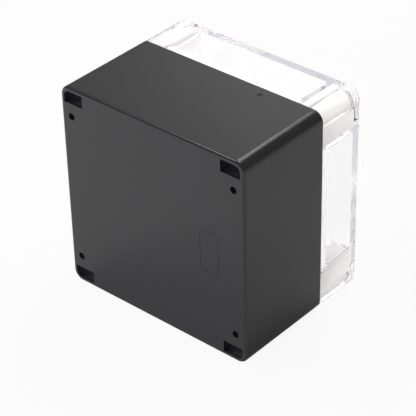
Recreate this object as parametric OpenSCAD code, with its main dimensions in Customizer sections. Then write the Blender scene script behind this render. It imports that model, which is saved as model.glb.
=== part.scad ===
// Waterproof project box: a charcoal base with a deep clear lid and a seal in the lid's rim.
// Four lid screws turn into brass inserts in corner blocks that lie outside the sealed space.
// The box stands on one side wall: +Z is up, the lid faces -Y and the mounting back faces +Y.
// The origin is on the surface it stands on, below the middle of the box. Sizes are in millimetres.

/* [Box] */
// Width of the box across its back
box_w = 120; // [100:1:200]
// Height of the box as it stands
box_h = 120; // [100:1:200]
// Depth of the base from the back face to the seam
base_d = 60; // [45:1:120]
// Depth of the lid from the seam to its front face
lid_d = 30; // [20:1:60]
// Outer radius of the four long corners
corner_r = 5.8; // [4:0.1:9]
// Fillet round the edge of the back face
back_edge_r = 1.5; // [0.6:0.1:2]
// Fillet round the edge of the lid's front face
lid_edge_r = 0.6; // [0.2:0.1:1.5]

/* [Walls] */
// Side wall of the base
base_wall = 3; // [2.4:0.1:3.4]
// Back wall of the base
back_wall = 3.4; // [2.6:0.1:6]
// Side wall of the lid, which holds the seal groove
lid_wall = 3.6; // [3.5:0.1:5]
// Front plate of the lid
window_t = 3.4; // [2.5:0.1:6]
// Wall left outside the pockets and hollows of the corner blocks
corner_wall = 2.4; // [1.8:0.1:3]

/* [Corner blocks] */
// Width of a corner block from the side face to the sealed space
block_w = 18; // [17.5:0.5:24]
// Height of a corner block from the top or bottom face to the sealed space
block_h = 24.5; // [24:0.5:32]
// Radius of a block's corner towards the middle of the box
block_r = 4; // [3:0.1:6]
// Radius of the inner corner where a block meets a side wall
arm_r = 1.5; // [0.5:0.1:3]

/* [Seal] */
// Width of the groove in the lid's rim
groove_w = 1.8; // [1.4:0.1:2]
// Depth of the groove in the lid's rim
groove_depth = 4.6; // [3:0.1:6]
// Lip between the groove and the sealed space
inner_lip = 0.9; // [0.7:0.1:1]
// Width of the ridge on the base's rim that presses the seal
ridge_w = 1.2; // [0.8:0.1:1.2]
// Height of the ridge
ridge_h = 0.8; // [0.4:0.1:1.5]
// Gap between the seal and each side of its groove
seal_gap = 0.1; // [0.05:0.05:0.2]

/* [Lid screws] */
// Distance of a screw's axis from the two outer faces beside it
screw_inset = 7; // [6.5:0.1:8]
// Diameter of the shank
screw_d = 5; // [4:0.1:5]
// Diameter of the head
head_d = 8.5; // [7.5:0.1:8.8]
// Height of the head
head_h = 3.3; // [2.5:0.1:4]
// Depth of the head's top below the lid's front face
head_recess = 0.4; // [0.2:0.1:1]
// Width of the driver slot
slot_w = 1.2; // [0.8:0.1:1.6]
// Depth of the driver slot
slot_depth = 1.4; // [0.8:0.1:1.8]
// Chamfer at the tip
tip_chamfer = 0.6; // [0.3:0.1:1]
// Clearance round the shank in the lid
shank_gap = 0.4; // [0.3:0.05:0.6]
// Clearance round the head in its counterbore
head_gap = 0.4; // [0.3:0.05:0.5]
// Wall of the tube round a counterbore inside the lid
tube_wall = 1; // [0.8:0.05:1.4]

/* [Screw rings] */
// Thickness of the soft ring under a head
ring_t = 1.2; // [0.8:0.1:2]
// Step from the head's rim in to the ring's rim
ring_step = 0.4; // [0.2:0.1:0.8]
// Clearance between a ring and the shank
ring_gap = 0.15; // [0.1:0.05:0.3]

/* [Threaded inserts] */
// Outer diameter of an insert
insert_d = 7; // [6.4:0.1:7.4]
// Length of an insert
insert_len = 9.5; // [7:0.5:12]
// Depth of an insert's top below the seam
insert_sink = 0.2; // [0.1:0.1:0.5]
// Clearance round an insert in its hole
insert_gap = 0.05; // [0.02:0.01:0.1]
// Clearance between the screw and the insert
thread_gap = 0.15; // [0.1:0.05:0.3]
// Distance by which the screw's tip stops short of the insert's far end
tip_short = 0.8; // [0.4:0.1:2]
// Free depth for the screw below the insert
relief_len = 4; // [2:0.5:6]
// Width of the waist between an insert's two bands
waist_w = 1.6; // [1:0.1:2.5]
// Depth of the waist
waist_depth = 0.4; // [0.2:0.05:0.6]

/* [Mounting holes] */
// Distance of a mounting hole from the side face
mount_in_x = 6.8; // [6.6:0.1:8]
// Distance of a mounting hole from the top or bottom face
mount_in_y = 16.8; // [16.4:0.1:17.5]
// Diameter of a mounting hole
mount_d = 4; // [3:0.1:5]
// Diameter of the well that takes the mounting screw's head
well_d = 8.4; // [7:0.1:8.6]
// Thickness left under the mounting screw's head
mount_seat = 4; // [3:0.1:8]

/* [Back pockets] */
// Width of a corner pocket in the back
pocket_w = 12.4; // [9:0.1:12.6]
// Height of a corner pocket in the back
pocket_h = 6.9; // [5:0.1:8]
// Length of screw boss left between a pocket and the seam
boss_len = 30; // [20:1:34]

/* [Board standoffs] */
// Diameter of a standoff
standoff_d = 7; // [5:0.5:9]
// Height of a standoff above the back wall
standoff_h = 6; // [3:0.5:15]
// Diameter of the pilot hole in a standoff
pilot_d = 2.6; // [2:0.1:3.4]
// Depth of the pilot hole
pilot_depth = 5; // [2.5:0.5:6]
// Distance from a corner block's face to the standoff's axis
standoff_in_x = 5; // [4:0.5:15]
// Distance from the top or bottom wall's face to the standoff's axis
standoff_in_y = 7; // [5:0.5:15]

/* [Moulding marks] */
// Width of the outlined mould panel on the back
panel_w = 12; // [8:1:20]
// Height of the outlined mould panel
panel_h = 25; // [15:1:40]
// Corner radius of the outlined mould panel
panel_r = 2; // [1:0.5:3]
// Distance of the panel's centre from the middle of the back
panel_off = 37; // [15:1:38]
// Width of the panel's outline
line_w = 0.2; // [0.15:0.05:0.6]
// Depth of the panel's outline
line_depth = 0.1; // [0.05:0.05:0.4]
// Distance of the gate mark from the middle of the top wall
gate_off = 25; // [0:1:35]
// Distance of the gate mark behind the seam
gate_back = 6; // [4:0.5:20]
// Diameter of the gate mark
gate_d = 1.2; // [0.8:0.1:2]
// Depth of the gate mark
gate_depth = 0.4; // [0.2:0.1:0.8]

/* [Hidden] */
$fn = 64;

// How far a cut runs past the face it starts from
over = 1;
// Smallest fillet where an outline grows past a rounded corner
least_r = 0.2;

depth = base_d + lid_d;
tube_d = head_d + 2 * (head_gap + tube_wall);
// The base's walls are thinner than the lid's, so its hollow is the lid's outline grown by this much
base_grow = lid_wall - base_wall;
ridge_in = inner_lip + (groove_w - ridge_w) / 2;
head_top = depth - head_recess;
head_seat = head_top - head_h;
counterbore_floor = head_seat - ring_t;
insert_top = base_d - insert_sink;
insert_floor = insert_top - insert_len;
tip_z = insert_floor + tip_short;
pocket_depth = base_d - boss_len;
standoff_x = box_w / 2 - block_w - standoff_in_x;
standoff_y = box_h / 2 - base_wall - standoff_in_y;

charcoal = [0.23, 0.23, 0.24];
clear = [0.85, 0.88, 0.92, 0.35];
white_silicone = [0.93, 0.93, 0.91];
natural_nylon = [0.94, 0.93, 0.89];
brass = [0.78, 0.62, 0.30];

SIDES = [-1, 1];
// Corner names as seen from the lid, with the sign of each corner's x and height
CORNERS = [
    ["bottom_left", -1, -1],
    ["bottom_right", 1, -1],
    ["top_right", 1, 1],
    ["top_left", -1, 1]
];

// Turns a box that lies on its back, lid up, to stand on one side wall with its lid towards -Y
module stand() {
    translate([0, depth / 2, box_h / 2])
        rotate([90, 0, 0])
            children();
}

// Puts children in a corner's own frame: x inwards from the side face, y inwards from the other face
module at_corner(c) {
    translate([c[1] * box_w / 2, c[2] * box_h / 2, 0])
        mirror([c[1] > 0 ? 1 : 0, 0, 0])
            mirror([0, c[2] > 0 ? 1 : 0, 0])
                children();
}

// Puts children on a corner's screw axis
module on_screw_axis(c) {
    at_corner(c)
        translate([screw_inset, screw_inset, 0])
            children();
}

module rounded_rect(w, h, r) {
    square([w - 2 * r, h], center = true);
    square([w, h - 2 * r], center = true);
    for (sx = SIDES, sy = SIDES)
        translate([sx * (w / 2 - r), sy * (h / 2 - r)])
            circle(r = r);
}

// Rectangle from the origin with one rounded corner, the one nearest the origin
module nose_rect(w, h, r) {
    translate([r, 0])
        square([w - r, h]);
    translate([0, r])
        square([w, h - r]);
    translate([r, r])
        circle(r = r);
}

// Section of the outer body along one side: a rectangle whose two lower corners are filleted
module side_profile(w, d, r) {
    translate([-w / 2, r])
        square([w, d - r]);
    translate([-w / 2 + r, 0])
        square([w - 2 * r, d]);
    for (sx = SIDES)
        translate([sx * (w / 2 - r), r])
            circle(r = r);
}

// Half section of a corner post with a filleted foot
module post_profile(d, r) {
    translate([0, r])
        square([corner_r, d - r]);
    square([corner_r - r, d]);
    translate([corner_r - r, r])
        circle(r = r);
}

// Solid outer body of height d, with rounded corners and a fillet of radius r round its lower face
module outer_body(d, r) {
    for (sx = SIDES, sy = SIDES)
        translate([sx * (box_w / 2 - corner_r), sy * (box_h / 2 - corner_r), 0])
            rotate_extrude()
                post_profile(d, r);
    rotate([90, 0, 90])
        linear_extrude(height = box_w - 2 * corner_r, center = true)
            side_profile(box_h, d, r);
    rotate([90, 0, 0])
        linear_extrude(height = box_h - 2 * corner_r, center = true)
            side_profile(box_w, d, r);
}

// Outline of the sealed space, grown outwards: two crossed arms that leave the corner blocks free
module seal_outline(grow) {
    r = max(block_r - grow, least_r);
    rounded_rect(box_w - 2 * (lid_wall - grow), box_h - 2 * (block_h - grow), arm_r + grow);
    rounded_rect(box_w - 2 * (block_w - grow), box_h - 2 * (lid_wall - grow), arm_r + grow);
    for (c = CORNERS)
        translate([c[1] * (box_w / 2 - block_w + grow), c[2] * (box_h / 2 - block_h + grow)])
            mirror([c[1] > 0 ? 0 : 1, 0])
                mirror([0, c[2] > 0 ? 0 : 1])
                    inner_fillet(r);
}

// Fillet piece that rounds a block's corner
module inner_fillet(r) {
    difference() {
        translate([-over, -over])
            square(r + over);
        translate([r, r])
            circle(r = r);
    }
}

// Band that follows the sealed space's outline, between two distances outside it
module seal_band(from, to) {
    difference() {
        seal_outline(to);
        seal_outline(from);
    }
}

// Hollow of one corner block in the lid, which leaves a tube round the screw
module lid_hollow() {
    w = block_w - lid_wall - corner_wall;
    h = block_h - lid_wall - corner_wall;
    difference() {
        translate([corner_wall, corner_wall])
            nose_rect(w, h, corner_r - corner_wall);
        translate([screw_inset, screw_inset])
            circle(d = tube_d);
        square(screw_inset);
    }
}

// Cuts of one corner of the base: back pocket, insert hole with its relief, and mounting hole with its well
module base_corner_cuts() {
    translate([corner_wall, corner_wall, -over])
        linear_extrude(height = pocket_depth + over)
            nose_rect(pocket_w, pocket_h, corner_r - corner_wall);
    translate([screw_inset, screw_inset, insert_floor])
        cylinder(d = insert_d + 2 * insert_gap, h = insert_len + insert_sink + over);
    translate([screw_inset, screw_inset, insert_floor - relief_len])
        cylinder(d = screw_d + 2 * shank_gap, h = relief_len + over);
    translate([mount_in_x, mount_in_y, -over])
        cylinder(d = mount_d, h = mount_seat + 2 * over);
    translate([mount_in_x, mount_in_y, mount_seat])
        cylinder(d = well_d, h = base_d - mount_seat + over);
}

// Fine outline left on the back by a mould insert
module panel_line() {
    translate([-panel_off, 0, -over])
        linear_extrude(height = line_depth + over)
            difference() {
                rounded_rect(panel_w, panel_h, panel_r);
                rounded_rect(panel_w - 2 * line_w, panel_h - 2 * line_w, panel_r - line_w);
            }
}

// Small gate mark in the top wall
module gate_mark() {
    translate([-gate_off, box_h / 2 - gate_depth, base_d - gate_back])
        rotate([-90, 0, 0])
            cylinder(d = gate_d, h = gate_depth + over);
}

module standoff() {
    difference() {
        cylinder(d = standoff_d, h = back_wall + standoff_h - over);
        translate([0, 0, back_wall + standoff_h - over - pilot_depth])
            cylinder(d = pilot_d, h = pilot_depth + over);
    }
}

module base_shell() {
    color(charcoal) stand() {
        difference() {
            union() {
                outer_body(base_d, back_edge_r);
                translate([0, 0, base_d - over])
                    linear_extrude(height = ridge_h + over)
                        seal_band(ridge_in, ridge_in + ridge_w);
            }
            translate([0, 0, back_wall])
                linear_extrude(height = base_d)
                    seal_outline(base_grow);
            for (c = CORNERS)
                at_corner(c)
                    base_corner_cuts();
            panel_line();
            gate_mark();
        }
        for (sx = SIDES, sy = SIDES)
            translate([sx * standoff_x, sy * standoff_y, over])
                standoff();
    }
}

module clear_lid() {
    color(clear) stand() difference() {
        translate([0, 0, depth])
            mirror([0, 0, 1])
                outer_body(lid_d, lid_edge_r);
        translate([0, 0, base_d - over])
            linear_extrude(height = lid_d - window_t + over)
                seal_outline(0);
        translate([0, 0, base_d - over])
            linear_extrude(height = groove_depth + over)
                seal_band(inner_lip, inner_lip + groove_w);
        for (c = CORNERS) {
            at_corner(c)
                translate([0, 0, base_d - over])
                    linear_extrude(height = lid_d - window_t + over)
                        lid_hollow();
            on_screw_axis(c) {
                translate([0, 0, base_d - over])
                    cylinder(d = screw_d + 2 * shank_gap, h = lid_d + over);
                translate([0, 0, counterbore_floor])
                    cylinder(d = head_d + 2 * head_gap, h = depth - counterbore_floor + over);
            }
        }
    }
}

module lid_gasket() {
    color(white_silicone) stand()
        translate([0, 0, base_d + ridge_h])
            linear_extrude(height = groove_depth - ridge_h)
                seal_band(inner_lip + seal_gap, inner_lip + groove_w - seal_gap);
}

module lid_screw(c) {
    color(natural_nylon) stand() on_screw_axis(c) difference() {
        union() {
            translate([0, 0, head_seat])
                cylinder(d = head_d, h = head_h);
            translate([0, 0, tip_z + tip_chamfer])
                cylinder(d = screw_d, h = head_seat - tip_z - tip_chamfer + over);
            translate([0, 0, tip_z])
                cylinder(d1 = screw_d - 2 * tip_chamfer, d2 = screw_d, h = tip_chamfer);
        }
        translate([-head_d, -slot_w / 2, head_top - slot_depth])
            cube([2 * head_d, slot_w, slot_depth + over]);
    }
}

module screw_ring(c) {
    color(white_silicone) stand() on_screw_axis(c)
        translate([0, 0, counterbore_floor])
            difference() {
                cylinder(d = head_d - 2 * ring_step, h = ring_t);
                translate([0, 0, -over])
                    cylinder(d = screw_d + 2 * ring_gap, h = ring_t + 2 * over);
            }
}

module threaded_insert(c) {
    color(brass) stand() on_screw_axis(c)
        translate([0, 0, insert_floor])
            difference() {
                cylinder(d = insert_d, h = insert_len);
                translate([0, 0, -over])
                    cylinder(d = screw_d + 2 * thread_gap, h = insert_len + 2 * over);
                translate([0, 0, (insert_len - waist_w) / 2])
                    difference() {
                        cylinder(d = insert_d + over, h = waist_w);
                        translate([0, 0, -over])
                            cylinder(d = insert_d - 2 * waist_depth, h = waist_w + 2 * over);
                    }
            }
}

base_shell();
clear_lid();
lid_gasket();
for (c = CORNERS) {
    lid_screw(c);
    screw_ring(c);
    threaded_insert(c);
}
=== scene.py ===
"""Looks of a waterproof project box: charcoal base, deep clear lid, white seal, nylon screws, brass inserts.

Sizes are in metres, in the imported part's frame: +Z up, the lid towards -Y and the mounting back towards +Y.
A piece that is turned or swept is drawn lying on its back, lid up, and then stood up by Box.stand.
"""

from __future__ import annotations

import logging
import math
from dataclasses import dataclass
from enum import Enum
from typing import Any, Mapping, Sequence, Union

import bmesh
import bpy
from mathutils import Euler, Matrix, Vector


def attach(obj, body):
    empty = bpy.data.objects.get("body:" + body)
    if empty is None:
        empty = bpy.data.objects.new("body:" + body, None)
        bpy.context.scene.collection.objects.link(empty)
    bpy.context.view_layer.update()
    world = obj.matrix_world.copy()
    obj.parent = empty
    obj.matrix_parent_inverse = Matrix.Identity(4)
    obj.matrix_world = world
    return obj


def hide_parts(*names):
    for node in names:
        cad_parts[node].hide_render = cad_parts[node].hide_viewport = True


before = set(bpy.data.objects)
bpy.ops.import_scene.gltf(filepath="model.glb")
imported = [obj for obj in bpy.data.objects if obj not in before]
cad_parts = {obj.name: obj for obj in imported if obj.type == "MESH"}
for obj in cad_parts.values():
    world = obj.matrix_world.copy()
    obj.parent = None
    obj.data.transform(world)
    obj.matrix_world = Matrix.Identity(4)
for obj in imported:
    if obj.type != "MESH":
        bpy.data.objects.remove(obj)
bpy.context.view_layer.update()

MM = 0.001
LOG = logging.getLogger("project_box")

Colour = tuple[float, float, float, float]
Point = tuple[float, float]
Spans = tuple[Point, Point, Point]
Number = Union[float, "Wire"]


class Corner(Enum):
    """The box's corners as seen from the lid, each with the sign of its X and of its height."""

    BOTTOM_LEFT = ("bottom_left", -1, -1)
    BOTTOM_RIGHT = ("bottom_right", 1, -1)
    TOP_RIGHT = ("top_right", 1, 1)
    TOP_LEFT = ("top_left", -1, 1)

    @property
    def label(self) -> str:
        """Name of the corner, as its nodes end."""
        return self.value[0]

    def out(self, x: float, y: float) -> Vector:
        """Place at a distance from the box's middle, towards this corner."""
        return Vector((self.value[1] * x, self.value[2] * y, 0.0))


class Ray(Enum):
    """Kinds of ray that a finish or the room tells apart."""

    CAMERA = "Is Camera Ray"
    GLOSSY = "Is Glossy Ray"
    TRANSMISSION = "Is Transmission Ray"
    SHADOW = "Is Shadow Ray"


class Wire:
    """A node's output, on which Python arithmetic adds Math nodes."""

    def __init__(self, graph: "Graph", socket: bpy.types.NodeSocket) -> None:
        """Keep the graph and the socket."""
        self.graph = graph
        self.socket = socket

    def __add__(self, other: Number) -> "Wire":
        """Sum."""
        return self.graph.math("ADD", self, other)

    def __radd__(self, other: Number) -> "Wire":
        """Sum with a plain number first."""
        return self.graph.math("ADD", other, self)

    def __sub__(self, other: Number) -> "Wire":
        """Difference."""
        return self.graph.math("SUBTRACT", self, other)

    def __rsub__(self, other: Number) -> "Wire":
        """Difference from a plain number."""
        return self.graph.math("SUBTRACT", other, self)

    def __mul__(self, other: Number) -> "Wire":
        """Product."""
        return self.graph.math("MULTIPLY", self, other)

    def __rmul__(self, other: Number) -> "Wire":
        """Product with a plain number first."""
        return self.graph.math("MULTIPLY", other, self)


class Made:
    """A node that a graph has made, read by its outputs' names."""

    def __init__(self, graph: "Graph", node: bpy.types.Node) -> None:
        """Keep the graph and the node."""
        self.graph = graph
        self.node = node

    def __getitem__(self, key: Union[str, int]) -> Wire:
        """One output, by identifier, name or place."""
        return Wire(self.graph, Graph.socket(self.node.outputs, key))


class Graph:
    """A node tree that one method fills."""

    def __init__(self, tree: bpy.types.NodeTree) -> None:
        """Empty the tree and keep it."""
        tree.nodes.clear()
        self.tree = tree

    @staticmethod
    def socket(sockets: Any, key: Union[str, int]) -> bpy.types.NodeSocket:
        """Find a socket.

        Args:
            sockets: a node's inputs or outputs.
            key: the socket's identifier, its name or its place.

        Returns:
            The socket that matches.
        """
        if isinstance(key, int):
            return sockets[key]
        named = [s for s in sockets if s.identifier == key] or [s for s in sockets if s.name == key]
        return named[0]

    def node(
        self,
        kind: str,
        settings: Mapping[str, Any] | None = None,
        inputs: Mapping[Union[str, int], Any] | None = None,
    ) -> Made:
        """Add a node.

        Args:
            kind: the node's type.
            settings: its properties, set first.
            inputs: values or wires for its sockets, or a list of wires where a socket takes several.

        Returns:
            The new node.
        """
        node = self.tree.nodes.new(kind)
        for name, value in (settings or {}).items():
            setattr(node, name, value)
        for key, value in (inputs or {}).items():
            socket = self.socket(node.inputs, key)
            if isinstance(value, (Wire, list)):
                for wire in value if isinstance(value, list) else [value]:
                    self.tree.links.new(wire.socket, socket)
            else:
                socket.default_value = value
        return Made(self, node)

    def math(self, operation: str, a: Number, b: Number, clamp: bool = False) -> Wire:
        """Add a Math node.

        Args:
            operation: the Math node's operation.
            a: first value.
            b: second value.
            clamp: whether the result stays from 0 to 1.

        Returns:
            Its result.
        """
        settings = {"operation": operation, "use_clamp": clamp}
        return self.node("ShaderNodeMath", settings, {0: a, 1: b})[0]

    def mix(self, factor: Number, a: Wire, b: Wire) -> Wire:
        """Add a Mix Shader node.

        Args:
            factor: 0 for the first shader, 1 for the second.
            a: first shader.
            b: second shader.

        Returns:
            The mixed shader.
        """
        return self.node("ShaderNodeMixShader", None, {0: factor, 1: a, 2: b})["Shader"]


class Shader(Graph):
    """A material's node tree."""

    NOISE_ROUGHNESS = 0.55
    NOISE_MIDDLE = 0.5

    def __init__(self, name: str) -> None:
        """Make the material with an empty tree.

        Args:
            name: the material's name.
        """
        self.material = bpy.data.materials.new(name)
        self.material.use_nodes = True
        super().__init__(self.material.node_tree)
        self.place = self.node("ShaderNodeTexCoord")["Object"]

    def noise(self, scale: float, detail: float = 2.0, stretch: Vector | None = None) -> Wire:
        """Noise from 0 to 1 over the piece.

        Args:
            scale: features to the metre.
            detail: octaves of finer noise.
            stretch: how much each axis is scaled first, if not evenly.

        Returns:
            The noise value.
        """
        place = self.place
        if stretch is not None:
            place = self.node("ShaderNodeMapping", None, {"Vector": place, "Scale": stretch})["Vector"]
        inputs = {"Vector": place, "Scale": scale, "Detail": detail, "Roughness": self.NOISE_ROUGHNESS}
        return self.node("ShaderNodeTexNoise", None, inputs)["Fac"]

    def swing(self, noise: Wire, width: float) -> Wire:
        """Noise as a swing about 0."""
        return (noise - self.NOISE_MIDDLE) * width

    def within(self, values: Sequence[Wire], spans: Spans) -> Wire:
        """Test several lengths together.

        Args:
            values: the lengths, in metres.
            spans: the least and the most that each one may be, in millimetres.

        Returns:
            1 where every length is in its span, and 0 elsewhere.
        """
        tests = []
        for value, (low, high) in zip(values, spans):
            inputs = {0: value, 1: (low + high) / 2 * MM, 2: (high - low) / 2 * MM}
            tests.append(self.node("ShaderNodeMath", {"operation": "COMPARE"}, inputs)["Value"])
        return math.prod(tests[1:], start=tests[0])

    def blend(self, factor: Wire, a: Union[Colour, Wire], b: Colour) -> Wire:
        """Colour between two others.

        Args:
            factor: 0 for the first colour, 1 for the second.
            a: first colour.
            b: second colour.

        Returns:
            The mixed colour.
        """
        inputs = {"Factor_Float": factor, "A_Color": a, "B_Color": b}
        return self.node("ShaderNodeMix", {"data_type": "RGBA"}, inputs)["Result_Color"]

    def bump(self, height: Wire, distance: float) -> Wire:
        """Normal with a fine relief.

        Args:
            height: relief from 0 to 1.
            distance: height of the relief, in metres.

        Returns:
            The bent normal.
        """
        inputs = {"Height": height, "Distance": distance, "Strength": 1.0}
        return self.node("ShaderNodeBump", None, inputs)["Normal"]

    def principled(self, inputs: Mapping[str, Any]) -> Wire:
        """Main shader of a finish, from the values or wires of its sockets."""
        return self.node("ShaderNodeBsdfPrincipled", None, inputs)["BSDF"]

    def finish(self, surface: Wire, volume: Wire | None = None) -> bpy.types.Material:
        """Link the output.

        Args:
            surface: the surface shader.
            volume: the volume shader, if there is one.

        Returns:
            The finished material.
        """
        inputs = {"Surface": surface}
        if volume is not None:
            inputs["Volume"] = volume
        self.node("ShaderNodeOutputMaterial", None, inputs)
        return self.material


@dataclass(frozen=True)
class Whiteness:
    """How white the studio shows to each kind of ray, from 0, as it is lit, to 1.

    A reflection inside clear plastic counts as a transmission.
    """

    ANY_BOUNCE = 0.5

    camera: float
    glossy: float
    transmission: float

    def share(self, graph: Graph) -> Wire:
        """Add the share of white to a tree.

        Args:
            graph: the tree of a material or of the world.

        Returns:
            The share for the ray at hand, and 0 for those that only carry light.
        """
        path = graph.node("ShaderNodeLightPath")
        inside = graph.math("GREATER_THAN", path["Transmission Depth"], self.ANY_BOUNCE)
        camera = path[Ray.CAMERA.value] * self.camera
        glossy = path[Ray.GLOSSY.value] * (self.glossy + inside * (self.transmission - self.glossy))
        passed = path[Ray.TRANSMISSION.value] * self.transmission
        return camera + glossy + passed


def grey(value: float, blue: float = 1.0) -> Colour:
    """Opaque grey with a given share of blue."""
    return (value, value, value * blue, 1.0)


WHITE = grey(1.0)


@dataclass(frozen=True)
class CharcoalMoulding:
    """Satin charcoal plastic with the fine grain of a spark-eroded mould.

    It has a dull blush round the gate mark on top. Inside the pockets and holes of the back, painted light
    makes it paler and bluer the deeper the wall, lifting their shade.
    """

    name: str = "charcoal_moulding"
    dark: Colour = (0.0175, 0.0155, 0.0180, 1.0)
    light: Colour = (0.0215, 0.0195, 0.0220, 1.0)
    ior: float = 1.585
    roughness: float = 0.22
    cloud_scale: float = 32.0
    cloud_detail: float = 4.0
    cloud_share: float = 0.7
    cloud_matt: float = 0.08
    grain_scale: float = 2400.0
    grain_matt: float = 0.06
    grain_height: float = 0.000022
    gate: Vector = Vector((-0.025, -0.009, 0.120))
    blush: Colour = grey(0.002)
    blush_radius: float = 0.0024
    blush_dark: float = 0.9
    blush_matt: float = 0.35
    # Painted light: the pale bluish colour that the deep walls of the back's pockets and holes blend towards,
    # lifting their shade.
    painted_pocket_light: Colour = (0.165, 0.165, 0.205, 1.0)
    painted_pocket_light_reach: float = 7.5 * MM
    pocket: Spans = ((44.0, 58.0), (10.0, 45.0), (49.0, 58.0))
    hole: Spans = ((50.0, 56.0), (41.05, 45.0), (40.0, 46.5))

    def _painted_pocket_light_share(self, shader: Shader) -> Wire:
        """Find the walls inside the pockets and holes of the back, where painted light makes the colour
        paler.

        Args:
            shader: the tree to add to.

        Returns:
            0 outside them and at their mouths, and 1 or more from where the painted light makes them palest.
        """
        axes = shader.node("ShaderNodeSeparateXYZ", None, {"Vector": shader.place})
        across = shader.math("ABSOLUTE", axes["X"], 0.0)
        up = shader.math("ABSOLUTE", axes["Z"] - BOX.height / 2, 0.0)
        place = (across, axes["Y"], up)
        inside = shader.within(place, self.pocket) + shader.within(place, self.hole)
        return (BOX.depth / 2 - axes["Y"]) * inside * (1.0 / self.painted_pocket_light_reach)

    def material(self) -> bpy.types.Material:
        """Build the material.

        Returns:
            The material.
        """
        shader = Shader(self.name)
        cloud = shader.noise(self.cloud_scale, self.cloud_detail)
        grain = shader.noise(self.grain_scale)
        inputs = {0: shader.place, 1: self.gate}
        away = shader.node("ShaderNodeVectorMath", {"operation": "DISTANCE"}, inputs)["Value"]
        blush = shader.math("SUBTRACT", 1.0, away * (1.0 / self.blush_radius), clamp=True)
        mottle = cloud * self.cloud_share + grain * (1.0 - self.cloud_share)
        plain = shader.blend(mottle, self.dark, self.light)
        # Painted light: the walls of the pockets and holes are blended paler and bluer with depth.
        painted_pocket_colour = shader.blend(self._painted_pocket_light_share(shader), plain, self.painted_pocket_light)
        uneven = shader.swing(cloud, self.cloud_matt) + shader.swing(grain, self.grain_matt)
        shell = shader.principled(
            {
                "Base Color": shader.blend(blush * self.blush_dark, painted_pocket_colour, self.blush),
                "Roughness": self.roughness + uneven + blush * self.blush_matt,
                "Normal": shader.bump(grain, self.grain_height),
                "IOR": self.ior,
            }
        )
        return shader.finish(shell)


@dataclass(frozen=True)
class ClearPlastic:
    """Clear polycarbonate with the slight waves of a moulding.

    It is polished. Where it is marked, it is matt and milky, and light glows through it.
    """

    MARK = "matt"

    name: str = "clear_polycarbonate"
    tint: Colour = (0.998, 0.998, 1.0, 1.0)
    depth_tint: Colour = (0.80, 0.79, 0.86, 1.0)
    density: float = 7.0
    ior: float = 1.585
    shine: Colour = (0.08, 0.08, 0.08, 1.0)
    shade: Colour = (0.85, 0.85, 0.855, 1.0)
    roughness: float = 0.06
    haze_scale: float = 420.0
    haze_detail: float = 3.0
    haze_matt: float = 0.02
    wave_scale: float = 70.0
    wave_detail: float = 1.0
    wave_height: float = 0.00001
    matt: float = 0.30
    milk: Colour = (0.98, 0.965, 0.96, 1.0)
    milk_roughness: float = 0.6
    milkiness: float = 0.85
    glow_through: float = 0.5

    def material(self) -> bpy.types.Material:
        """Build the material.

        Returns:
            The material.
        """
        shader = Shader(self.name)
        wave = shader.noise(self.wave_scale, self.wave_detail)
        haze = shader.noise(self.haze_scale, self.haze_detail)
        marked = shader.node("ShaderNodeAttribute", {"attribute_name": self.MARK})["Fac"]
        clear = shader.principled(
            {
                "Base Color": self.tint,
                "Roughness": self.roughness + haze * self.haze_matt + marked * self.matt,
                "Normal": shader.bump(wave, self.wave_height),
                "IOR": self.ior,
                "Specular Tint": self.shine,
                "Transmission Weight": 1.0,
            }
        )
        inputs = {"Color": self.depth_tint, "Density": self.density}
        depth = shader.node("ShaderNodeVolumeAbsorption", None, inputs)["Volume"]
        front = shader.principled({"Base Color": self.milk, "Roughness": self.milk_roughness})
        behind = shader.node("ShaderNodeBsdfTranslucent", None, {"Color": self.milk})["BSDF"]
        frost = shader.mix(self.glow_through, front, behind)
        skin = shader.mix(marked * self.milkiness, clear, frost)
        shadow = shader.node("ShaderNodeLightPath")[Ray.SHADOW.value]
        through = shader.node("ShaderNodeBsdfTransparent", None, {"Color": self.shade})["BSDF"]
        return shader.finish(shader.mix(shadow, skin, through), depth)


@dataclass(frozen=True)
class SoftSilicone:
    """Matt silicone, for the seal and for the rings under the screw heads."""

    name: str
    dark: Colour
    light: Colour
    ior: float = 1.41
    roughness: float = 0.55
    cloud_scale: float = 180.0
    cloud_detail: float = 3.0
    dust_scale: float = 3200.0
    dust_matt: float = 0.16
    dust_height: float = 0.00002
    soft: float = 0.15
    soft_depth: float = 0.0012

    def material(self) -> bpy.types.Material:
        """Build the material.

        Returns:
            The material.
        """
        shader = Shader(self.name)
        cloud = shader.noise(self.cloud_scale, self.cloud_detail)
        dust = shader.noise(self.dust_scale)
        skin = shader.principled(
            {
                "Base Color": shader.blend(cloud, self.dark, self.light),
                "Roughness": self.roughness + shader.swing(dust, self.dust_matt),
                "Normal": shader.bump(dust, self.dust_height),
                "IOR": self.ior,
                "Subsurface Weight": self.soft,
                "Subsurface Scale": self.soft_depth,
            }
        )
        return shader.finish(skin)


SEAL_SILICONE = SoftSilicone("seal_silicone", grey(0.82, 0.98), grey(0.87, 0.98))
RING_SILICONE = SoftSilicone("soft_ring_silicone", grey(0.40), grey(0.46))


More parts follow.
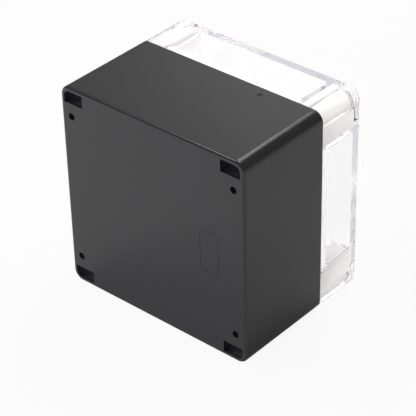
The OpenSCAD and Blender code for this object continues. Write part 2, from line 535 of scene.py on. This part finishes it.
@dataclass(frozen=True)
class NaturalNylon:
    """Milky nylon of the lid screws, with the flow marks of its moulding."""

    name: str = "natural_nylon"
    dark: Colour = (0.62, 0.61, 0.59, 1.0)
    light: Colour = (0.68, 0.67, 0.655, 1.0)
    ior: float = 1.53
    roughness: float = 0.38
    flow_scale: float = 260.0
    flow_detail: float = 3.0
    flow_stretch: Vector = Vector((1.0, 0.25, 1.0))
    grain_scale: float = 2800.0
    grain_matt: float = 0.14
    grain_height: float = 0.000015
    soft: float = 0.25
    soft_depth: float = 0.0012
    soft_reach: tuple[float, float, float] = (1.0, 0.95, 0.85)

    def material(self) -> bpy.types.Material:
        """Build the material.

        Returns:
            The material.
        """
        shader = Shader(self.name)
        flow = shader.noise(self.flow_scale, self.flow_detail, self.flow_stretch)
        grain = shader.noise(self.grain_scale)
        skin = shader.principled(
            {
                "Base Color": shader.blend(flow, self.dark, self.light),
                "Roughness": self.roughness + shader.swing(grain, self.grain_matt),
                "Normal": shader.bump(grain, self.grain_height),
                "IOR": self.ior,
                "Subsurface Weight": self.soft,
                "Subsurface Radius": self.soft_reach,
                "Subsurface Scale": self.soft_depth,
            }
        )
        return shader.finish(skin)


@dataclass(frozen=True)
class TurnedBrass:
    """Brass with fine turning rings along the axis and a little tarnish."""

    name: str = "turned_brass"
    clean: Colour = (0.78, 0.58, 0.27, 1.0)
    tarnished: Colour = (0.56, 0.39, 0.17, 1.0)
    roughness: float = 0.22
    tarnish_scale: float = 520.0
    tarnish_detail: float = 4.0
    tarnish_matt: float = 0.16
    ring_scale: float = 900.0
    ring_detail: float = 1.0
    ring_stretch: Vector = Vector((0.05, 6.0, 0.05))
    ring_height: float = 0.00001

    def material(self) -> bpy.types.Material:
        """Build the material.

        Returns:
            The material.
        """
        shader = Shader(self.name)
        tarnish = shader.noise(self.tarnish_scale, self.tarnish_detail)
        rings = shader.noise(self.ring_scale, self.ring_detail, self.ring_stretch)
        metal = shader.principled(
            {
                "Base Color": shader.blend(tarnish, self.clean, self.tarnished),
                "Roughness": self.roughness + tarnish * self.tarnish_matt,
                "Normal": shader.bump(rings, self.ring_height),
                "Metallic": 1.0,
            }
        )
        return shader.finish(metal)


@dataclass(frozen=True)
class StudioPaper:
    """White paper sweep, which shows nearly white and keeps a pale shadow."""

    name: str = "studio_paper"
    dark: Colour = (0.73, 0.73, 0.73, 1.0)
    light: Colour = (0.77, 0.77, 0.77, 1.0)
    roughness: float = 0.9
    fibre_scale: float = 300.0
    fibre_detail: float = 3.0
    white: Whiteness = Whiteness(camera=0.92, glossy=0.0, transmission=1.0)

    def material(self) -> bpy.types.Material:
        """Build the material.

        Returns:
            The material.
        """
        shader = Shader(self.name)
        fibre = shader.noise(self.fibre_scale, self.fibre_detail)
        paper = shader.principled(
            {
                "Base Color": shader.blend(fibre, self.dark, self.light),
                "Roughness": self.roughness,
                "Specular IOR Level": 0.0,
            }
        )
        glow = shader.node("ShaderNodeEmission", None, {"Color": WHITE, "Strength": 1.0})["Emission"]
        return shader.finish(shader.mix(self.white.share(shader), paper, glow))


@dataclass(frozen=True)
class Box:
    """Main sizes of the box, lying on its back with the lid up, from the back face to the lid's front."""

    width: float = 120 * MM
    height: float = 120 * MM
    depth: float = 90 * MM
    screw_inset: float = 7 * MM

    @property
    def stand(self) -> Matrix:
        """Turn that stands the lying box on its side wall, lid towards -Y."""
        lift = Matrix.Translation((0.0, self.depth / 2, self.height / 2))
        return lift @ Matrix.Rotation(math.pi / 2, 4, "X")

    @property
    def screw_place(self) -> Point:
        """Distances of a screw's axis from the box's middle, across and up."""
        return self.width / 2 - self.screw_inset, self.height / 2 - self.screw_inset

    def screw_axis(self, corner: Corner) -> Matrix:
        """Place of a corner's screw axis in the standing box."""
        return self.stand @ Matrix.Translation(corner.out(*self.screw_place))


BOX = Box()


@dataclass
class Turned:
    """A shape turned about its axis from a half section of radius and height."""

    ON_AXIS = 1e-9

    section: Sequence[Point]
    segments: int = 64
    ring: bool = False

    def mesh(self, name: str) -> bpy.types.Mesh:
        """Turn the section.

        Args:
            name: the mesh's name.

        Returns:
            A closed mesh round the Z axis.
        """
        work = bmesh.new()
        loops = [self._loop(work, radius, height) for radius, height in self.section]
        pairs = list(zip(loops, loops[1:]))
        if self.ring:
            pairs.append((loops[-1], loops[0]))
        for low, high in pairs:
            self._join(work, low, high)
        bmesh.ops.recalc_face_normals(work, faces=work.faces)
        mesh = bpy.data.meshes.new(name)
        work.to_mesh(mesh)
        work.free()
        return mesh

    def _loop(self, work: bmesh.types.BMesh, radius: float, height: float) -> list[bmesh.types.BMVert]:
        """Set one ring of corners, or a single one on the axis.

        Args:
            work: the mesh in the making.
            radius: the ring's radius.
            height: the ring's height.

        Returns:
            The corners, in order.
        """
        if radius < self.ON_AXIS:
            return [work.verts.new((0.0, 0.0, height))]
        turns = [2 * math.pi * k / self.segments for k in range(self.segments)]
        return [work.verts.new((radius * math.cos(t), radius * math.sin(t), height)) for t in turns]

    def _join(
        self, work: bmesh.types.BMesh, low: list[bmesh.types.BMVert], high: list[bmesh.types.BMVert]
    ) -> None:
        """Fill the band between two rings.

        Args:
            work: the mesh in the making.
            low: corners of the first ring.
            high: corners of the second ring.
        """
        for k in range(self.segments):
            n = (k + 1) % self.segments
            if len(low) == 1:
                work.faces.new((low[0], high[n], high[k]))
            elif len(high) == 1:
                work.faces.new((low[k], low[n], high[0]))
            else:
                work.faces.new((low[k], low[n], high[n], high[k]))


class Studio:
    """Floor, light and camera of the photograph."""

    @dataclass(frozen=True)
    class Softbox:
        """One square lamp that faces the box, and that shows as a glare on it or not."""

        name: str
        place: Vector
        side: float
        watts: float
        glare: bool = True

    AIM = Vector((0.0, 0.0, 0.06))
    FLOOR_SIDE = 12.0
    FLOOR_DROP = 0.0002
    BOUNCES = 48
    AMBIENT = 0.12
    ROOM_WHITE = Whiteness(camera=1.0, glossy=0.10, transmission=1.0)
    SOFTBOXES = (
        Softbox("key_softbox", Vector((1.04, 0.65, 0.445)), 0.40, 9.0, glare=False),
        Softbox("back_softbox", Vector((0.0, 1.28, 0.226)), 0.40, 7.2, glare=False),
        Softbox("top_softbox", Vector((0.0, -0.445, 1.22)), 0.40, 2.8),
        Softbox("lid_softbox", Vector((0.17, -0.63, 1.13)), 0.40, 1.35),
        Softbox("front_softbox", Vector((0.29, -1.09, 0.65)), 0.40, 1.5, glare=False),
        Softbox("low_softbox", Vector((0.86, -0.86, 0.445)), 0.40, 1.25, glare=False),
        Softbox("left_sheen_softbox", Vector((0.56, -0.98, 0.65)), 0.40, 0.16),
        Softbox("middle_sheen_softbox", Vector((0.646, -0.922, 0.71)), 0.40, 0.135),
        Softbox("right_sheen_softbox", Vector((0.796, -0.796, 0.71)), 0.40, 0.145),
        Softbox("edge_softbox", Vector((0.52, 0.12, 1.10)), 0.15, 2.5),
        Softbox("side_softbox", Vector((0.39, -0.81, 1.0)), 0.15, 0.5),
        Softbox("fill_softbox", Vector((-1.15, -0.25, 0.22)), 0.30, 3.2, glare=False),
    )
    EYE = Vector((-0.51530, 0.58458, 0.57721))
    AZIMUTH = math.radians(221.556)
    ELEVATION = math.radians(34.253)
    ROLL = math.radians(-1.467)
    LENS_MM = 156.67
    SENSOR_MM = 36.0
    CLIP = (0.01, 50.0)

    def build(self) -> None:
        """Make the floor, the world, the lamps and the camera."""
        scene = bpy.context.scene
        scene.view_settings.view_transform = "Standard"
        scene.cycles.max_bounces = self.BOUNCES
        scene.cycles.glossy_bounces = self.BOUNCES
        scene.cycles.transmission_bounces = self.BOUNCES
        self._floor()
        self._world()
        for box in self.SOFTBOXES:
            self._softbox(box)
        self._camera()

    def _floor(self) -> None:
        """Lay the paper floor."""
        half = self.FLOOR_SIDE / 2
        mesh = bpy.data.meshes.new("paper_floor")
        corners = [(-half, -half, 0.0), (half, -half, 0.0), (half, half, 0.0), (-half, half, 0.0)]
        mesh.from_pydata(corners, [], [(0, 1, 2, 3)])
        mesh.materials.append(StudioPaper().material())
        floor = bpy.data.objects.new("paper_floor", mesh)
        floor.location.z = -self.FLOOR_DROP
        bpy.context.scene.collection.objects.link(floor)

    def _world(self) -> None:
        """Set the even light of the room, which shows as white."""
        world = bpy.data.worlds.new("white_room")
        world.use_nodes = True
        bpy.context.scene.world = world
        graph = Graph(world.node_tree)
        light, white = (
            graph.node("ShaderNodeBackground", None, {"Color": WHITE, "Strength": strength})["Background"]
            for strength in (self.AMBIENT, 1.0)
        )
        mixed = graph.mix(self.ROOM_WHITE.share(graph), light, white)
        graph.node("ShaderNodeOutputWorld", None, {"Surface": mixed})

    def _softbox(self, box: "Studio.Softbox") -> None:
        """Hang one lamp.

        Args:
            box: the lamp.
        """
        lamp = bpy.data.lights.new(box.name, "AREA")
        lamp.size = box.side
        lamp.energy = box.watts
        hung = bpy.data.objects.new(box.name, lamp)
        turn = (self.AIM - box.place).to_track_quat("-Z", "Y").to_matrix().to_4x4()
        hung.matrix_world = Matrix.Translation(box.place) @ turn
        hung.visible_glossy = box.glare
        bpy.context.scene.collection.objects.link(hung)

    def _camera(self) -> None:
        """Set the camera where the photograph was taken."""
        sin_a, cos_a = math.sin(self.AZIMUTH), math.cos(self.AZIMUTH)
        sin_e, cos_e = math.sin(self.ELEVATION), math.cos(self.ELEVATION)
        back = Vector((sin_a * cos_e, -cos_a * cos_e, sin_e))
        right = Vector((cos_a, sin_a, 0.0))
        up = back.cross(right)
        sin_r, cos_r = math.sin(self.ROLL), math.cos(self.ROLL)
        side, top = cos_r * right + sin_r * up, cos_r * up - sin_r * right
        data = bpy.data.cameras.new("photo_camera")
        data.lens, data.sensor_width = self.LENS_MM, self.SENSOR_MM
        data.clip_start, data.clip_end = self.CLIP
        camera = bpy.data.objects.new("photo_camera", data)
        turn = Matrix((side, top, back)).transposed().to_4x4()
        camera.matrix_world = Matrix.Translation(self.EYE) @ turn
        bpy.context.scene.collection.objects.link(camera)
        bpy.context.scene.camera = camera


class Recipe(Graph):
    """A Geometry Nodes tree with named inputs, run on a blank and then made a plain mesh."""

    KINDS = {float: "NodeSocketFloat", int: "NodeSocketInt", bpy.types.Material: "NodeSocketMaterial"}
    TURN_STEPS = 24
    TOOTH_FOOT = 0.8
    TOOTH_TIP = 0.25
    TOOTH_REACH = 0.95

    def __init__(self, name: str, values: Mapping[str, Any]) -> None:
        """Make the tree.

        Args:
            name: the tree's name.
            values: its named inputs, with the value that each one gets.
        """
        tree = bpy.data.node_groups.new(name, "GeometryNodeTree")
        super().__init__(tree)
        sides = tree.interface.new_socket
        sides("Geometry", in_out="OUTPUT", socket_type="NodeSocketGeometry")
        sides("Blank", in_out="INPUT", socket_type="NodeSocketGeometry")
        self.values = dict(values)
        self.keys = {
            label: sides(label, in_out="INPUT", socket_type=self.KINDS[type(value)]).identifier
            for label, value in self.values.items()
        }
        self.given = self.node("NodeGroupInput")

    def __getitem__(self, label: str) -> Wire:
        """One of the tree's own inputs."""
        return self.given[label]

    def shift(self, geometry: Wire, rotation: Vector, translation: Union[Vector, Wire]) -> Wire:
        """Turn and move some geometry.

        Args:
            geometry: what to move.
            rotation: turns about X, Y and Z.
            translation: where its origin goes.

        Returns:
            The moved geometry.
        """
        inputs = {"Geometry": geometry, "Rotation": Euler(rotation), "Translation": translation}
        return self.node("GeometryNodeTransform", None, inputs)["Geometry"]

    def height(self, value: Number) -> Wire:
        """Vector along Z."""
        return self.node("ShaderNodeCombineXYZ", None, {"Z": value})["Vector"]

    def sweep(self, path: Wire, section: Wire, caps: bool) -> Wire:
        """Carry a section along a path that keeps level.

        Args:
            path: the curve to follow.
            section: the curve to carry, X away from the path and Y upwards.
            caps: whether the ends are filled.

        Returns:
            The swept mesh.
        """
        level = self.node("GeometryNodeSetCurveNormal", {"mode": "Z_UP"}, {"Curve": path})["Curve"]
        inputs = {"Curve": level, "Profile Curve": section, "Fill Caps": caps}
        return self.node("GeometryNodeCurveToMesh", None, inputs)["Mesh"]

    def thread(self, radius: Number, crest: Number, pitch: Number, turns: Number, start: Number) -> Wire:
        """Wind a right-hand thread.

        Args:
            radius: where the thread's foot is.
            crest: height of a tooth, most of which stands out, or in where this is below 0.
            pitch: rise in one turn.
            turns: number of turns.
            start: height of its lower end.

        Returns:
            The thread as a closed mesh.
        """
        inputs = {"Resolution": self.TURN_STEPS, "Rotations": turns, "Height": pitch * turns, "Reverse": True}
        inputs.update({"Start Radius": radius, "End Radius": radius})
        helix = self.node("GeometryNodeCurveSpiral", None, inputs)["Curve"]
        inputs = {"Bottom Width": pitch * self.TOOTH_FOOT, "Top Width": pitch * self.TOOTH_TIP}
        inputs.update({"Height": crest, "Offset": 0.0})
        tooth = self.node("GeometryNodeCurvePrimitiveQuadrilateral", {"mode": "TRAPEZOID"}, inputs)["Curve"]
        rise = self.node("ShaderNodeCombineXYZ", None, {"Y": crest * (self.TOOTH_REACH - 0.5)})["Vector"]
        raised = self.shift(tooth, Vector(), rise)
        stood = self.shift(raised, Vector((0, 0, -math.pi / 2)), Vector())
        return self.shift(self.sweep(helix, stood, True), Vector(), self.height(start))

    def join(self, *parts: Wire) -> Wire:
        """Several meshes as one."""
        return self.node("GeometryNodeJoinGeometry", None, {"Geometry": list(parts)})["Geometry"]

    def make(self, blank: bpy.types.Mesh, result: Wire) -> bpy.types.Mesh:
        """Close the tree and run it.

        Args:
            blank: the mesh that goes in.
            result: the geometry that comes out.

        Returns:
            The result as a plain mesh.
        """
        real = self.node("GeometryNodeRealizeInstances", None, {"Geometry": result})["Geometry"]
        inputs = {"Geometry": real, "Material": self["Material"]}
        done = self.node("GeometryNodeSetMaterial", None, inputs)["Geometry"]
        self.node("NodeGroupOutput", None, {"Geometry": done})
        holder = bpy.data.objects.new(self.tree.name, blank)
        bpy.context.scene.collection.objects.link(holder)
        modifier = holder.modifiers.new("recipe", "NODES")
        modifier.node_group = self.tree
        for label, key in self.keys.items():
            modifier[key] = self.values[label]
        ready = holder.evaluated_get(bpy.context.evaluated_depsgraph_get())
        mesh = bpy.data.meshes.new_from_object(ready)
        bpy.data.objects.remove(holder)
        mesh.materials.clear()
        mesh.materials.append(self.values["Material"])
        return mesh


@dataclass(frozen=True)
class Part:
    """A finished piece: the body that it rides on, its slot, which is not used, and the node that it stands
    for.
    """

    node: str
    body: str
    slot: str

    def place(self, mesh: bpy.types.Mesh, turn: Matrix | None = None, crease: float = 35.0) -> None:
        """Put the piece into the scene.

        Args:
            mesh: its mesh, with its material.
            turn: where the mesh goes, if it isn't in place yet.
            crease: edges sharper than this many degrees stay sharp; 0 keeps the mesh's own normals.
        """
        if turn is not None:
            mesh.transform(turn)
        if crease:
            mesh.shade_smooth()
            mesh.set_sharp_from_angle(angle=math.radians(crease))
        mesh.name = f"{self.node}_finished"
        piece = bpy.data.objects.new(mesh.name, mesh)
        bpy.context.scene.collection.objects.link(piece)
        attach(piece, self.body)
        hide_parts(self.node)
        LOG.info("%s: %d faces on body %s", piece.name, len(mesh.polygons), self.body)


def fillet(corners: Sequence[tuple[float, float, float]], steps: int = 4) -> list[Point]:
    """Round the corners of a half section.

    Args:
        corners: radius, height and rounding of each corner, in millimetres.
        steps: straight steps in each rounding.

    Returns:
        The section's points, in metres.
    """
    points: list[Point] = []
    for k, (x, y, r) in enumerate(corners):
        here = Vector((x, y))
        if r <= 0 or k in (0, len(corners) - 1):
            points.append((x * MM, y * MM))
            continue
        before = (Vector(corners[k - 1][:2]) - here).normalized()
        after = (Vector(corners[k + 1][:2]) - here).normalized()
        half = before.angle(after) / 2
        reach = r / math.tan(half)
        a, b = here + before * reach, here + after * reach
        for s in range(steps + 1):
            t = s / steps
            arc = (1 - t) ** 2 * a + 2 * t * (1 - t) * here + t * t * b
            points.append((arc.x * MM, arc.y * MM))
    return points


@dataclass
class CornerScrew:
    """A captive lid screw with its soft ring, which both move out of the lid together.

    Sizes are in millimetres, and heights are from the back of the box.
    """

    corner: Corner
    nylon: bpy.types.Material
    silicone: bpy.types.Material
    tip: float = 51.1
    thread_top: float = 63.9
    thread_lead: float = 0.9
    thread_sink: float = 0.6
    seat: float = 86.3
    top: float = 89.6
    root_r: float = 2.08
    shank_r: float = 2.5
    head_r: float = 4.25
    slot_w: float = 1.2
    slot_depth: float = 1.4
    pitch: float = 0.8
    crest_gap: float = 0.03
    bevel: float = 0.35
    bevel_rise: float = 0.5
    step_round: float = 0.1
    edge_round: float = 0.12
    neck_round: float = 0.2
    head_round: float = 0.4
    ring_r: float = 3.85
    ring_bore_r: float = 2.65
    ring_t: float = 1.2
    ring_gap: float = 0.03
    ring_round: float = 0.4
    ring_close: float = 0.01

    def build(self) -> None:
        """Make the screw and its ring."""
        axis = BOX.screw_axis(self.corner)
        label = self.corner.label
        Part(f"lid_screw_{label}", f"screw_{label}", "screw_nylon").place(self._screw(), axis)
        Part(f"screw_ring_{label}", f"ring_{label}", "ring_silicone").place(self._ring(), axis)

    def _screw(self) -> bpy.types.Mesh:
        """Turn the blank, cut its slot and wind its thread.

        Returns:
            The screw, in the lying box with its axis on Z.
        """
        section = fillet(
            [
                (0.0, self.tip, 0.0),
                (self.root_r - self.bevel, self.tip, self.edge_round),
                (self.root_r, self.tip + self.bevel_rise, self.step_round),
                (self.root_r, self.thread_top, self.step_round),
                (self.shank_r, self.thread_top + self.bevel_rise, self.step_round),
                (self.shank_r, self.seat, self.neck_round),
                (self.head_r, self.seat, self.edge_round),
                (self.head_r, self.top, self.head_round),
                (0.0, self.top, 0.0),
            ]
        )
        blank = Turned(section).mesh("screw_blank")
        start = self.tip + self.thread_lead
        turns = (self.thread_top + self.thread_sink - start) / self.pitch
        recipe = Recipe(
            "screw_recipe",
            {
                "Root radius": self.root_r * MM,
                "Crest": (self.shank_r - self.crest_gap - self.root_r) / Recipe.TOOTH_REACH * MM,
                "Pitch": self.pitch * MM,
                "Turns": turns,
                "Start": start * MM,
                "Slot width": self.slot_w * MM,
                "Slot depth": self.slot_depth * MM,
                "Head radius": self.head_r * MM,
                "Head top": self.top * MM,
                "Material": self.nylon,
            },
        )
        slotted = self._cut_slot(recipe)
        labels = ("Root radius", "Crest", "Pitch", "Turns", "Start")
        thread = recipe.thread(*(recipe[label] for label in labels))
        return recipe.make(blank, recipe.join(slotted, thread))

    def _cut_slot(self, recipe: Recipe) -> Wire:
        """Cut the slot with a blade that reaches past the head and is half sunk in it.

        Args:
            recipe: the tree to add to.

        Returns:
            The slotted blank.
        """
        size = {"X": recipe["Head radius"] * 3, "Y": recipe["Slot width"], "Z": recipe["Slot depth"] * 2}
        sides = recipe.node("ShaderNodeCombineXYZ", None, size)["Vector"]
        blade = recipe.node("GeometryNodeMeshCube", None, {"Size": sides})["Mesh"]
        sunk = recipe.shift(blade, Vector(), recipe.height(recipe["Head top"]))
        inputs = {"Mesh 1": recipe["Blank"], "Mesh 2": sunk}
        return recipe.node("GeometryNodeMeshBoolean", {"operation": "DIFFERENCE"}, inputs)["Mesh"]

    def _ring(self) -> bpy.types.Mesh:
        """Turn the soft ring under the head.

        Returns:
            The ring, in the lying box with its axis on Z.
        """
        low, high = self.seat - self.ring_t + self.ring_gap, self.seat - self.ring_gap
        middle = (self.ring_bore_r + self.ring_r) / 2
        outer, bore = self.ring_r, self.ring_bore_r
        edges = [(outer, low), (outer, high), (bore, high), (bore, low)]
        rounded = [(radius, height, self.ring_round) for radius, height in edges]
        section = fillet([(middle, low, 0.0), *rounded, (middle - self.ring_close, low, 0.0)])
        mesh = Turned(section, ring=True).mesh("ring_blank")
        mesh.materials.append(self.silicone)
        return mesh


@dataclass
class ThreadedInsert:
    """A knurled brass insert that is pressed into a corner block of the base.

    Sizes are in millimetres, and heights are from the back of the box.
    """

    corner: Corner
    brass: bpy.types.Material
    low: float = 50.3
    high: float = 59.8
    outer_r: float = 3.5
    bore_r: float = 2.65
    groove_r: float = 3.1
    body_r: float = 3.28
    bore_end: float = 1.0
    foot_bevel: float = 0.3
    foot_round: float = 0.1
    mouth_bevel: float = 0.35
    mouth_round: float = 0.12
    groove_slope: float = 0.2
    collar_slope: float = 0.1
    ridges: int = 36
    ridge_sides: int = 4
    pitch: float = 0.8
    thread_h: float = 0.1
    thread_sink: float = 0.01
    thread_lead: float = 0.8
    thread_ends: float = 2.0
    bands: tuple[Point, Point] = ((50.8, 54.2), (55.8, 59.0))

    def build(self) -> None:
        """Make the insert."""
        label = self.corner.label
        part = Part(f"threaded_insert_{label}", "base", "insert_brass")
        part.place(self._insert(), BOX.screw_axis(self.corner))

    def _insert(self) -> bpy.types.Mesh:
        """Turn the blank, set ridges round its two bands and wind the thread in its bore.

        Returns:
            The insert, in the lying box with its axis on Z.
        """
        (_, low_band_top), (high_band_foot, high_band_top) = self.bands
        section = fillet(
            [
                (self.bore_r, self.low + self.bore_end, 0.0),
                (self.bore_r, self.low + self.foot_bevel, 0.0),
                (self.bore_r + self.foot_bevel, self.low, 0.0),
                (self.body_r, self.low, self.foot_round),
                (self.body_r, low_band_top, 0.0),
                (self.groove_r, low_band_top + self.groove_slope, 0.0),
                (self.groove_r, high_band_foot - self.groove_slope, 0.0),
                (self.body_r, high_band_foot, 0.0),
                (self.body_r, high_band_top, 0.0),
                (self.outer_r, high_band_top + self.collar_slope, 0.0),
                (self.outer_r, self.high, self.mouth_round),
                (self.bore_r + self.mouth_bevel, self.high, 0.0),
                (self.bore_r, self.high - self.mouth_bevel, 0.0),
            ],
            steps=2,
        )
        blank = Turned(section, ring=True).mesh("insert_blank")
        recipe = Recipe(
            "insert_recipe",
            {
                "Bore radius": (self.bore_r + self.thread_sink) * MM,
                "Crest": -self.thread_h * MM,
                "Pitch": self.pitch * MM,
                "Turns": (self.high - self.low - self.thread_ends) / self.pitch,
                "Start": (self.low + self.thread_lead) * MM,
                "Ridges": self.ridges,
                "Body radius": self.body_r * MM,
                "Ridge size": (self.outer_r - self.body_r) * MM,
                "Material": self.brass,
            },
        )
        rows = [self._knurl(recipe, low, high) for low, high in self.bands]
        labels = ("Bore radius", "Crest", "Pitch", "Turns", "Start")
        thread = recipe.thread(*(recipe[label] for label in labels))
        return recipe.make(blank, recipe.join(recipe["Blank"], thread, *rows))

    def _knurl(self, recipe: Recipe, low: float, high: float) -> Wire:
        """Set straight ridges round the insert.

        Args:
            recipe: the tree to add to.
            low: height of the ridges' lower ends, in millimetres.
            high: height of their upper ends.

        Returns:
            The ridges as instances.
        """
        inputs = {"Resolution": self.ridges * 2, "Radius": recipe["Body radius"]}
        ring = recipe.node("GeometryNodeCurvePrimitiveCircle", {"mode": "RADIUS"}, inputs)["Curve"]
        inputs = {"Curve": ring, "Count": recipe["Ridges"]}
        spots = recipe.node("GeometryNodeCurveToPoints", {"mode": "COUNT"}, inputs)
        inputs = {"Vertices": self.ridge_sides, "Radius": recipe["Ridge size"], "Depth": (high - low) * MM}
        bar = recipe.node("GeometryNodeMeshCylinder", None, inputs)["Mesh"]
        inputs = {
            "Points": spots["Points"],
            "Instance": recipe.shift(bar, Vector((math.pi / 2, 0, 0)), Vector()),
            "Rotation": spots["Rotation"],
        }
        row = recipe.node("GeometryNodeInstanceOnPoints", None, inputs)["Instances"]
        return recipe.shift(row, Vector(), Vector((0, 0, (low + high) / 2 * MM)))


@dataclass
class ClearCover:
    """The clear lid, with milky hollows in its corner blocks, and the seal in its rim.

    Sizes are in millimetres, from the middle of the box and, for heights, from its back.
    """

    clear: bpy.types.Material
    silicone: bpy.types.Material
    rim_gap: float = 0.06
    seam_y: float = -15.0
    near: float = 0.01
    merge: float = 0.0001
    seal_arm: float = 58.2
    seal_side: float = 43.8
    seal_low: float = 37.3
    arm_r: float = 3.3
    block_r: float = 2.2
    seal_w: float = 1.56
    seal_h: float = 3.7
    seal_mid: float = 62.7
    seal_round: float = 0.45
    seal_steps: int = 4
    hollow_x: float = 45.5
    hollow_y: float = 39.0
    hollow_out: float = 57.7
    hollow_back: float = 60.2
    hollow_front: float = 87.5
    seat_floor: float = 85.0
    seat_r: float = 5.0

    def build(self) -> None:
        """Make the lid and its seal."""
        Part("clear_lid", "lid", "lid_clear").place(self._lid(), crease=0.0)
        Part("lid_gasket", "lid", "gasket_silicone").place(self._seal(), BOX.stand)

    def _lid(self) -> bpy.types.Mesh:
        """Copy the lid, merged, with its rim a hair clear of the base so that it shines along the seam.

        Returns:
            The lid, in place.
        """
        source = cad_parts["clear_lid"].data
        normals = [tuple(n.vector) for n in source.corner_normals]
        work = bmesh.new()
        work.from_mesh(source)
        bmesh.ops.remove_doubles(work, verts=work.verts, dist=self.merge * MM)
        for vert in work.verts:
            if abs(vert.co.y - self.seam_y * MM) < self.near * MM:
                vert.co.y -= self.rim_gap * MM
        mesh = bpy.data.meshes.new("clear_lid_finished")
        work.to_mesh(mesh)
        work.free()
        mesh.materials.clear()
        mesh.materials.append(self.clear)
        mesh.shade_smooth()
        if len(normals) == len(mesh.loops):
            mesh.normals_split_custom_set(normals)
        else:
            LOG.warning("the merged lid has %d corners, not %d", len(mesh.loops), len(normals))
        self._mark_hollows(mesh)
        return mesh

    def _mark_hollows(self, mesh: bpy.types.Mesh) -> None:
        """Mark the faces inside the hollow corner blocks, which the mould leaves matt and milky.

        Args:
            mesh: the lid.
        """
        marks = mesh.attributes.new(ClearPlastic.MARK, "FLOAT", "FACE")
        axis = Corner.TOP_RIGHT.out(*BOX.screw_place)
        for face, mark in zip(mesh.polygons, marks.data):
            lying = BOX.stand.inverted() @ face.center
            x, y, z = (abs(value) / MM for value in lying)
            inside = x > self.hollow_x and y > self.hollow_y and max(x, y) < self.hollow_out
            seat = math.hypot(x - axis.x / MM, y - axis.y / MM) < self.seat_r and z > self.seat_floor
            mark.value = float(inside and not seat and self.hollow_back < z < self.hollow_front)

    def _seal_path(self, steps: int = 8) -> list[Vector]:
        """Walk once round the middle of the seal.

        Args:
            steps: straight steps in each rounded corner.

        Returns:
            The path's points, in the lying box.
        """
        quarter = [
            (self.seal_arm - self.arm_r, self.seal_low - self.arm_r, self.arm_r, 0.0, 90.0),
            (self.seal_side + self.block_r, self.seal_low + self.block_r, self.block_r, 270.0, 180.0),
            (self.seal_side - self.arm_r, self.seal_arm - self.arm_r, self.arm_r, 0.0, 90.0),
        ]
        first: list[Point] = []
        for x, y, r, start, end in quarter:
            turns = [math.radians(start + (end - start) * k / steps) for k in range(steps + 1)]
            first += [(x + r * math.cos(t), y + r * math.sin(t)) for t in turns]
        around = first + [(-x, y) for x, y in first[::-1]]
        around += [(-x, -y) for x, y in around]
        return [Vector((x, y, self.seal_mid)) * MM for x, y in around]

    def _seal(self) -> bpy.types.Mesh:
        """Sweep the seal's rounded section along its path.

        Returns:
            The seal, in the lying box.
        """
        path = self._seal_path()
        blank = bpy.data.meshes.new("seal_path")
        blank.from_pydata(path, [(k, (k + 1) % len(path)) for k in range(len(path))], [])
        recipe = Recipe(
            "seal_recipe",
            {
                "Width": self.seal_w * MM,
                "Height": self.seal_h * MM,
                "Rounding": self.seal_round * MM,
                "Material": self.silicone,
            },
        )
        line = recipe.node("GeometryNodeMeshToCurve", None, {"Mesh": recipe["Blank"]})["Curve"]
        inputs = {"Width": recipe["Width"], "Height": recipe["Height"]}
        strip = recipe.node("GeometryNodeCurvePrimitiveQuadrilateral", {"mode": "RECTANGLE"}, inputs)["Curve"]
        inputs = {"Curve": strip, "Radius": recipe["Rounding"], "Limit Radius": True}
        inputs["Count"] = self.seal_steps
        soft = recipe.node("GeometryNodeFilletCurve", {"mode": "POLY"}, inputs)["Curve"]
        return recipe.make(blank, recipe.sweep(line, soft, False))


def dress(node: str, material: bpy.types.Material) -> None:
    """Give a CAD node its material.

    Args:
        node: the node's name.
        material: the material for all its faces.
    """
    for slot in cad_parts[node].material_slots:
        slot.material = material
    LOG.info("%s: CAD node dressed with %s", node, material.name)


def main() -> None:
    """Build the studio, dress the base and make the lid, the screws and the inserts."""
    logging.basicConfig(level=logging.INFO, format="%(name)s: %(message)s")
    Studio().build()
    dress("base_shell", CharcoalMoulding().material())
    seal = SEAL_SILICONE.material()
    ClearCover(ClearPlastic().material(), seal).build()
    nylon = NaturalNylon().material()
    ring = RING_SILICONE.material()
    brass = TurnedBrass().material()
    for corner in Corner:
        CornerScrew(corner, nylon, ring).build()
        ThreadedInsert(corner, brass).build()


if __name__ == "__main__":
    main()
